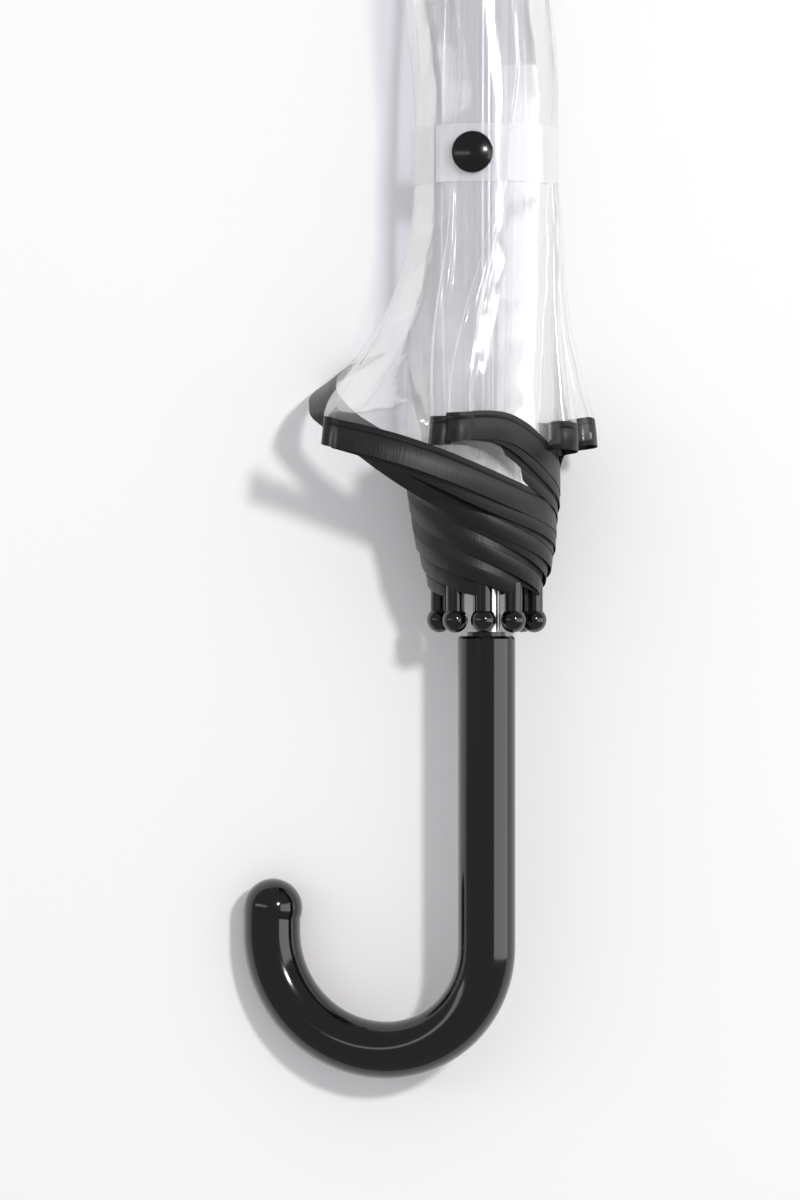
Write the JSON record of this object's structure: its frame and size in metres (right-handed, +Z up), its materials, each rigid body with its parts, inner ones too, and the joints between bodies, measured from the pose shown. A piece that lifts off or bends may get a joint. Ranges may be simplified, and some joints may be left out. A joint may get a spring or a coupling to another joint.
{
  "type": "bubble umbrella",
  "caption": "Clear bubble umbrella, rolled and strapped, with a black crook handle, black hem binding, ball tips and a sliding frame that opens.",
  "frame": {"origin": "on the shaft's axis at the top end of the handle", "axes": "+Y along the shaft towards the ferrule, +X to the right with the crook towards -X, +Z up from the surface it lies on"},
  "size_m": [0.1279, 0.8815, 0.0681],
  "materials": {
    "steel_tube": "bright plated",
    "black_plastic": "polished",
    "grey_plastic": "moulded",
    "clear_film": "clear",
    "spring_steel": "bare",
    "rib_rod": "satin",
    "stretcher_steel": "bare",
    "seam_film": "welded",
    "hem_tape": "fine weave",
    "clear_strap": "clear",
    "snap_black": "polished"
  },
  "bodies": {
    "root": {"shaft": "steel_tube", "handle": "black_plastic", "ferrule": "black_plastic", "crown_notch": "grey_plastic", "canopy": "clear_film"},
    "runner": {"runner": "grey_plastic"},
    "lower_catch": {"lower_catch": "spring_steel"},
    "upper_catch": {"upper_catch": "spring_steel"},
    "rib_upper_1": {"rib_upper_1": "rib_rod"},
    "rib_lower_1": {"rib_lower_1": "rib_rod", "tip_1": "black_plastic"},
    "stretcher_1": {"stretcher_1": "stretcher_steel"},
    "seam_1": {"seam_1": "seam_film"},
    "hem_1": {"hem_1": "hem_tape"},
    "rib_upper_2": {"rib_upper_2": "rib_rod"},
    "rib_lower_2": {"rib_lower_2": "rib_rod", "tip_2": "black_plastic"},
    "stretcher_2": {"stretcher_2": "stretcher_steel"},
    "seam_2": {"seam_2": "seam_film"},
    "hem_2": {"hem_2": "hem_tape"},
    "rib_upper_3": {"rib_upper_3": "rib_rod"},
    "rib_lower_3": {"rib_lower_3": "rib_rod", "tip_3": "black_plastic"},
    "stretcher_3": {"stretcher_3": "stretcher_steel"},
    "seam_3": {"seam_3": "seam_film"},
    "hem_3": {"hem_3": "hem_tape"},
    "rib_upper_4": {"rib_upper_4": "rib_rod"},
    "rib_lower_4": {"rib_lower_4": "rib_rod", "tip_4": "black_plastic"},
    "stretcher_4": {"stretcher_4": "stretcher_steel"},
    "seam_4": {"seam_4": "seam_film"},
    "hem_4": {"hem_4": "hem_tape"},
    "rib_upper_5": {"rib_upper_5": "rib_rod"},
    "rib_lower_5": {"rib_lower_5": "rib_rod", "tip_5": "black_plastic"},
    "stretcher_5": {"stretcher_5": "stretcher_steel"},
    "seam_5": {"seam_5": "seam_film"},
    "hem_5": {"hem_5": "hem_tape"},
    "rib_upper_6": {"rib_upper_6": "rib_rod"},
    "rib_lower_6": {"rib_lower_6": "rib_rod", "tip_6": "black_plastic", "strap_band": "clear_strap", "snap_stud": "spring_steel"},
    "stretcher_6": {"stretcher_6": "stretcher_steel"},
    "seam_6": {"seam_6": "seam_film"},
    "hem_6": {"hem_6": "hem_tape"},
    "rib_upper_7": {"rib_upper_7": "rib_rod"},
    "rib_lower_7": {"rib_lower_7": "rib_rod", "tip_7": "black_plastic"},
    "stretcher_7": {"stretcher_7": "stretcher_steel"},
    "seam_7": {"seam_7": "seam_film"},
    "hem_7": {"hem_7": "hem_tape"},
    "rib_upper_8": {"rib_upper_8": "rib_rod"},
    "rib_lower_8": {"rib_lower_8": "rib_rod", "tip_8": "black_plastic"},
    "stretcher_8": {"stretcher_8": "stretcher_steel"},
    "seam_8": {"seam_8": "seam_film"},
    "hem_8": {"hem_8": "hem_tape"},
    "strap_flap": {"strap_flap": "clear_strap", "snap_cap": "snap_black"}
  },
  "joints": [
    {"name": "runner_slide", "type": "slide", "parent": "root", "child": "runner", "axis": [0, 1, 0], "range_m": [0, 0.345], "deforming": ["canopy", "seam_1", "seam_2", "seam_3", "seam_4", "seam_5", "seam_6", "seam_7", "seam_8", "hem_1", "hem_2", "hem_3", "hem_4", "hem_5", "hem_6", "hem_7", "hem_8", "strap_band", "strap_flap", "lower_catch", "upper_catch"]},
    {"name": "lower_catch_press", "type": "slide", "parent": "root", "child": "lower_catch", "axis": [-1, 0, 0], "range_m": [0, 0.0024]},
    {"name": "upper_catch_press", "type": "slide", "parent": "root", "child": "upper_catch", "axis": [-1, 0, 0], "range_m": [0, 0.0024]},
    {"name": "rib_upper_1_hinge", "type": "hinge", "parent": "root", "child": "rib_upper_1", "pos_m": [-0.00065, 0.65, 0.00747], "axis": [-0.9962, 0, -0.0872], "range_deg": [0, 56.95]},
    {"name": "rib_lower_1_hinge", "type": "hinge", "parent": "rib_upper_1", "child": "rib_lower_1", "pos_m": [-0.00105, 0.337, 0.01195], "axis": [0.9962, 0, 0.0872], "range_deg": [0, 37.97]},
    {"name": "stretcher_1_hinge", "type": "hinge", "parent": "runner", "child": "stretcher_1", "pos_m": [-0.0007, 0.062, 0.00797], "axis": [0.9962, 0, 0.0872], "range_deg": [0, 73.11]},
    {"name": "seam_1_spread", "type": "hinge", "parent": "rib_upper_1", "child": "seam_1", "pos_m": [0.07877, 0.5228, 0.24984], "axis": [0.2688, -0.448, 0.8527], "range_deg": [0, 42.05]},
    {"name": "hem_1_spread", "type": "hinge", "parent": "rib_lower_1", "child": "hem_1", "pos_m": [0.05168, 1.11291, 0.1639], "axis": [0.2972, -0.1526, 0.9425], "range_deg": [0, 14.47]},
    {"name": "rib_upper_2_hinge", "type": "hinge", "parent": "root", "child": "rib_upper_2", "pos_m": [0.00482, 0.65, 0.00575], "axis": [-0.766, 0, 0.6428], "range_deg": [0, 56.95]},
    {"name": "rib_lower_2_hinge", "type": "hinge", "parent": "rib_upper_2", "child": "rib_lower_2", "pos_m": [0.00771, 0.337, 0.00919], "axis": [0.766, 0, -0.6428], "range_deg": [0, 37.97]},
    {"name": "stretcher_2_hinge", "type": "hinge", "parent": "runner", "child": "stretcher_2", "pos_m": [0.00514, 0.062, 0.00613], "axis": [0.766, 0, -0.6428], "range_deg": [0, 73.11]},
    {"name": "seam_2_spread", "type": "hinge", "parent": "rib_upper_2", "child": "seam_2", "pos_m": [0.23237, 0.5228, 0.12096], "axis": [0.793, -0.448, 0.4128], "range_deg": [0, 42.05]},
    {"name": "hem_2_spread", "type": "hinge", "parent": "rib_lower_2", "child": "hem_2", "pos_m": [0.15244, 1.11291, 0.07935], "axis": [0.8766, -0.1526, 0.4563], "range_deg": [0, 14.47]},
    {"name": "rib_upper_3_hinge", "type": "hinge", "parent": "root", "child": "rib_upper_3", "pos_m": [0.00747, 0.65, 0.00065], "axis": [-0.0872, 0, 0.9962], "range_deg": [0, 56.95]},
    {"name": "rib_lower_3_hinge", "type": "hinge", "parent": "rib_upper_3", "child": "rib_lower_3", "pos_m": [0.01195, 0.337, 0.00105], "axis": [0.0872, 0, -0.9962], "range_deg": [0, 37.97]},
    {"name": "stretcher_3_hinge", "type": "hinge", "parent": "runner", "child": "stretcher_3", "pos_m": [0.00797, 0.062, 0.0007], "axis": [0.0872, 0, -0.9962], "range_deg": [0, 73.11]},
    {"name": "seam_3_spread", "type": "hinge", "parent": "rib_upper_3", "child": "seam_3", "pos_m": [0.24984, 0.5228, -0.07877], "axis": [0.8527, -0.448, -0.2688], "range_deg": [0, 42.05]},
    {"name": "hem_3_spread", "type": "hinge", "parent": "rib_lower_3", "child": "hem_3", "pos_m": [0.1639, 1.11291, -0.05168], "axis": [0.9425, -0.1526, -0.2972], "range_deg": [0, 14.47]},
    {"name": "rib_upper_4_hinge", "type": "hinge", "parent": "root", "child": "rib_upper_4", "pos_m": [0.00575, 0.65, -0.00482], "axis": [0.6428, 0, 0.766], "range_deg": [0, 56.95]},
    {"name": "rib_lower_4_hinge", "type": "hinge", "parent": "rib_upper_4", "child": "rib_lower_4", "pos_m": [0.00919, 0.337, -0.00771], "axis": [-0.6428, 0, -0.766], "range_deg": [0, 37.97]},
    {"name": "stretcher_4_hinge", "type": "hinge", "parent": "runner", "child": "stretcher_4", "pos_m": [0.00613, 0.062, -0.00514], "axis": [-0.6428, 0, -0.766], "range_deg": [0, 73.11]},
    {"name": "seam_4_spread", "type": "hinge", "parent": "rib_upper_4", "child": "seam_4", "pos_m": [0.12096, 0.5228, -0.23237], "axis": [0.4128, -0.448, -0.793], "range_deg": [0, 42.05]},
    {"name": "hem_4_spread", "type": "hinge", "parent": "rib_lower_4", "child": "hem_4", "pos_m": [0.07935, 1.11291, -0.15244], "axis": [0.4563, -0.1526, -0.8766], "range_deg": [0, 14.47]},
    {"name": "rib_upper_5_hinge", "type": "hinge", "parent": "root", "child": "rib_upper_5", "pos_m": [0.00065, 0.65, -0.00747], "axis": [0.9962, 0, 0.0872], "range_deg": [0, 56.95]},
    {"name": "rib_lower_5_hinge", "type": "hinge", "parent": "rib_upper_5", "child": "rib_lower_5", "pos_m": [0.00105, 0.337, -0.01195], "axis": [-0.9962, 0, -0.0872], "range_deg": [0, 37.97]},
    {"name": "stretcher_5_hinge", "type": "hinge", "parent": "runner", "child": "stretcher_5", "pos_m": [0.0007, 0.062, -0.00797], "axis": [-0.9962, 0, -0.0872], "range_deg": [0, 73.11]},
    {"name": "seam_5_spread", "type": "hinge", "parent": "rib_upper_5", "child": "seam_5", "pos_m": [-0.07877, 0.5228, -0.24984], "axis": [-0.2688, -0.448, -0.8527], "range_deg": [0, 42.05]},
    {"name": "hem_5_spread", "type": "hinge", "parent": "rib_lower_5", "child": "hem_5", "pos_m": [-0.05168, 1.11291, -0.1639], "axis": [-0.2972, -0.1526, -0.9425], "range_deg": [0, 14.47]},
    {"name": "rib_upper_6_hinge", "type": "hinge", "parent": "root", "child": "rib_upper_6", "pos_m": [-0.00482, 0.65, -0.00575], "axis": [0.766, 0, -0.6428], "range_deg": [0, 56.95]},
    {"name": "rib_lower_6_hinge", "type": "hinge", "parent": "rib_upper_6", "child": "rib_lower_6", "pos_m": [-0.00771, 0.337, -0.00919], "axis": [-0.766, 0, 0.6428], "range_deg": [0, 37.97]},
    {"name": "stretcher_6_hinge", "type": "hinge", "parent": "runner", "child": "stretcher_6", "pos_m": [-0.00514, 0.062, -0.00613], "axis": [-0.766, 0, 0.6428], "range_deg": [0, 73.11]},
    {"name": "seam_6_spread", "type": "hinge", "parent": "rib_upper_6", "child": "seam_6", "pos_m": [-0.23237, 0.5228, -0.12096], "axis": [-0.793, -0.448, -0.4128], "range_deg": [0, 42.05]},
    {"name": "hem_6_spread", "type": "hinge", "parent": "rib_lower_6", "child": "hem_6", "pos_m": [-0.15244, 1.11291, -0.07935], "axis": [-0.8766, -0.1526, -0.4563], "range_deg": [0, 14.47]},
    {"name": "rib_upper_7_hinge", "type": "hinge", "parent": "root", "child": "rib_upper_7", "pos_m": [-0.00747, 0.65, -0.00065], "axis": [0.0872, 0, -0.9962], "range_deg": [0, 56.95]},
    {"name": "rib_lower_7_hinge", "type": "hinge", "parent": "rib_upper_7", "child": "rib_lower_7", "pos_m": [-0.01195, 0.337, -0.00105], "axis": [-0.0872, 0, 0.9962], "range_deg": [0, 37.97]},
    {"name": "stretcher_7_hinge", "type": "hinge", "parent": "runner", "child": "stretcher_7", "pos_m": [-0.00797, 0.062, -0.0007], "axis": [-0.0872, 0, 0.9962], "range_deg": [0, 73.11]},
    {"name": "seam_7_spread", "type": "hinge", "parent": "rib_upper_7", "child": "seam_7", "pos_m": [-0.24984, 0.5228, 0.07877], "axis": [-0.8527, -0.448, 0.2688], "range_deg": [0, 42.05]},
    {"name": "hem_7_spread", "type": "hinge", "parent": "rib_lower_7", "child": "hem_7", "pos_m": [-0.1639, 1.11291, 0.05168], "axis": [-0.9425, -0.1526, 0.2972], "range_deg": [0, 14.47]},
    {"name": "rib_upper_8_hinge", "type": "hinge", "parent": "root", "child": "rib_upper_8", "pos_m": [-0.00575, 0.65, 0.00482], "axis": [-0.6428, 0, -0.766], "range_deg": [0, 56.95]},
    {"name": "rib_lower_8_hinge", "type": "hinge", "parent": "rib_upper_8", "child": "rib_lower_8", "pos_m": [-0.00919, 0.337, 0.00771], "axis": [0.6428, 0, 0.766], "range_deg": [0, 37.97]},
    {"name": "stretcher_8_hinge", "type": "hinge", "parent": "runner", "child": "stretcher_8", "pos_m": [-0.00613, 0.062, 0.00514], "axis": [0.6428, 0, 0.766], "range_deg": [0, 73.11]},
    {"name": "seam_8_spread", "type": "hinge", "parent": "rib_upper_8", "child": "seam_8", "pos_m": [-0.12096, 0.5228, 0.23237], "axis": [-0.4128, -0.448, 0.793], "range_deg": [0, 42.05]},
    {"name": "hem_8_spread", "type": "hinge", "parent": "rib_lower_8", "child": "hem_8", "pos_m": [-0.07935, 1.11291, 0.15244], "axis": [-0.4563, -0.1526, 0.8766], "range_deg": [0, 14.47]},
    {"name": "flap_lift", "type": "hinge", "parent": "rib_lower_6", "child": "strap_flap", "pos_m": [0.02587, 0.179, 0.01376], "axis": [0, 1, 0], "range_deg": [0, 100], "deforming": ["strap_flap"]}
  ],
  "couplings": [
    {"joint": "rib_upper_1_hinge", "follows": "runner_slide", "rad_per_m": 2.8809},
    {"joint": "rib_lower_1_hinge", "follows": "runner_slide", "rad_per_m": 1.9209},
    {"joint": "stretcher_1_hinge", "follows": "runner_slide", "rad_per_m": 3.6987},
    {"joint": "seam_1_spread", "follows": "runner_slide", "rad_per_m": 2.1272},
    {"joint": "hem_1_spread", "follows": "runner_slide", "rad_per_m": 0.73193},
    {"joint": "rib_upper_2_hinge", "follows": "runner_slide", "rad_per_m": 2.8809},
    {"joint": "rib_lower_2_hinge", "follows": "runner_slide", "rad_per_m": 1.9209},
    {"joint": "stretcher_2_hinge", "follows": "runner_slide", "rad_per_m": 3.6987},
    {"joint": "seam_2_spread", "follows": "runner_slide", "rad_per_m": 2.1272},
    {"joint": "hem_2_spread", "follows": "runner_slide", "rad_per_m": 0.73193},
    {"joint": "rib_upper_3_hinge", "follows": "runner_slide", "rad_per_m": 2.8809},
    {"joint": "rib_lower_3_hinge", "follows": "runner_slide", "rad_per_m": 1.9209},
    {"joint": "stretcher_3_hinge", "follows": "runner_slide", "rad_per_m": 3.6987},
    {"joint": "seam_3_spread", "follows": "runner_slide", "rad_per_m": 2.1272},
    {"joint": "hem_3_spread", "follows": "runner_slide", "rad_per_m": 0.73193},
    {"joint": "rib_upper_4_hinge", "follows": "runner_slide", "rad_per_m": 2.8809},
    {"joint": "rib_lower_4_hinge", "follows": "runner_slide", "rad_per_m": 1.9209},
    {"joint": "stretcher_4_hinge", "follows": "runner_slide", "rad_per_m": 3.6987},
    {"joint": "seam_4_spread", "follows": "runner_slide", "rad_per_m": 2.1272},
    {"joint": "hem_4_spread", "follows": "runner_slide", "rad_per_m": 0.73193},
    {"joint": "rib_upper_5_hinge", "follows": "runner_slide", "rad_per_m": 2.8809},
    {"joint": "rib_lower_5_hinge", "follows": "runner_slide", "rad_per_m": 1.9209},
    {"joint": "stretcher_5_hinge", "follows": "runner_slide", "rad_per_m": 3.6987},
    {"joint": "seam_5_spread", "follows": "runner_slide", "rad_per_m": 2.1272},
    {"joint": "hem_5_spread", "follows": "runner_slide", "rad_per_m": 0.73193},
    {"joint": "rib_upper_6_hinge", "follows": "runner_slide", "rad_per_m": 2.8809},
    {"joint": "rib_lower_6_hinge", "follows": "runner_slide", "rad_per_m": 1.9209},
    {"joint": "stretcher_6_hinge", "follows": "runner_slide", "rad_per_m": 3.6987},
    {"joint": "seam_6_spread", "follows": "runner_slide", "rad_per_m": 2.1272},
    {"joint": "hem_6_spread", "follows": "runner_slide", "rad_per_m": 0.73193},
    {"joint": "rib_upper_7_hinge", "follows": "runner_slide", "rad_per_m": 2.8809},
    {"joint": "rib_lower_7_hinge", "follows": "runner_slide", "rad_per_m": 1.9209},
    {"joint": "stretcher_7_hinge", "follows": "runner_slide", "rad_per_m": 3.6987},
    {"joint": "seam_7_spread", "follows": "runner_slide", "rad_per_m": 2.1272},
    {"joint": "hem_7_spread", "follows": "runner_slide", "rad_per_m": 0.73193},
    {"joint": "rib_upper_8_hinge", "follows": "runner_slide", "rad_per_m": 2.8809},
    {"joint": "rib_lower_8_hinge", "follows": "runner_slide", "rad_per_m": 1.9209},
    {"joint": "stretcher_8_hinge", "follows": "runner_slide", "rad_per_m": 3.6987},
    {"joint": "seam_8_spread", "follows": "runner_slide", "rad_per_m": 2.1272},
    {"joint": "hem_8_spread", "follows": "runner_slide", "rad_per_m": 0.73193}
  ]
}
